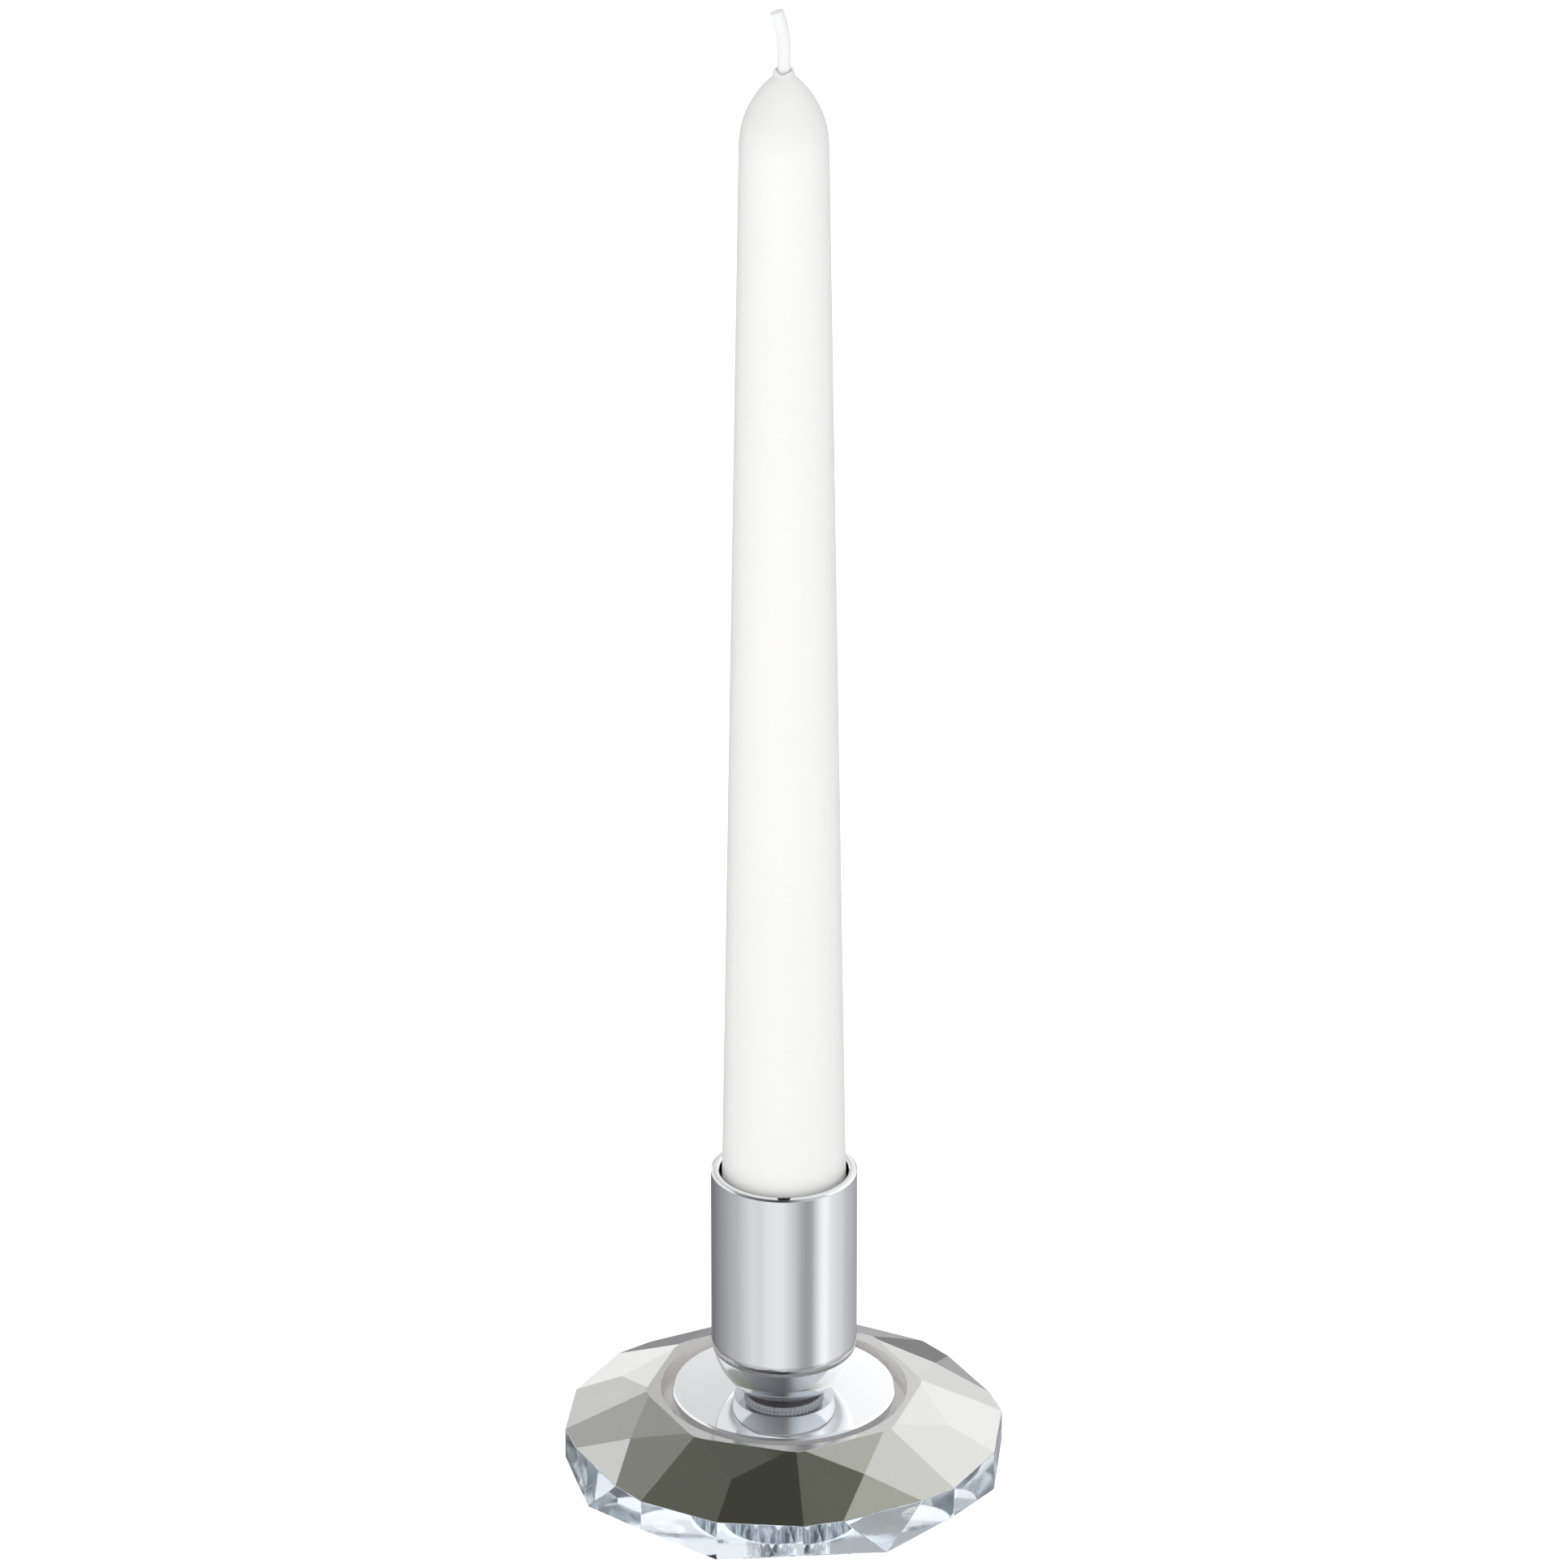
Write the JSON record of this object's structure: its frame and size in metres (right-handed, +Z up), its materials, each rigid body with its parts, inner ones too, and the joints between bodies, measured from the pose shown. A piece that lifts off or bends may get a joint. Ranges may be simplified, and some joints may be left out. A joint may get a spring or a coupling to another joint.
{
  "type": "glass candlestick",
  "caption": "Candlestick with a faceted, mirror-topped glass base, a round-bottomed polished metal cup on a disc, and a tapered candle that lifts out.",
  "frame": {"origin": "on the surface that the candlestick stands on, under the axis of the cup", "axes": "+Z up along the axis of the cup and candle; the wick bends over towards -X; the cut's first ridge is 5 degrees from +X"},
  "size_m": [0.0786, 0.0786, 0.2777],
  "materials": {
    "base_glass": "clear cut glass with a grey mirror coating on its table and crown facets",
    "clear_pad": "soft clear plastic",
    "rubber": "white silicone rubber",
    "polished_disc": "mirror polished",
    "polished_metal": "polished",
    "bush_plastic": "natural nylon",
    "zinc_steel": "bright zinc plated",
    "wax": "smooth off-white wax",
    "wick_cotton": "waxed white cotton"
  },
  "bodies": {
    "holder": {"glass_base": "base_glass", "bumper_pads": "clear_pad", "disc_gasket": "rubber", "mirror_disc": "polished_disc", "knurled_collar": "polished_metal", "candle_cup": "polished_metal", "glass_bush": "bush_plastic", "rubber_washer": "rubber", "steel_washer": "zinc_steel", "lock_washer": "zinc_steel", "fixing_screw": "zinc_steel"},
    "taper": {"candle": "wax", "wick": "wick_cotton"}
  },
  "joints": [
    {"name": "candle_lift", "type": "slide", "parent": "holder", "child": "taper", "axis": [0, 0, 1], "range_m": [0, 0.035]}
  ]
}
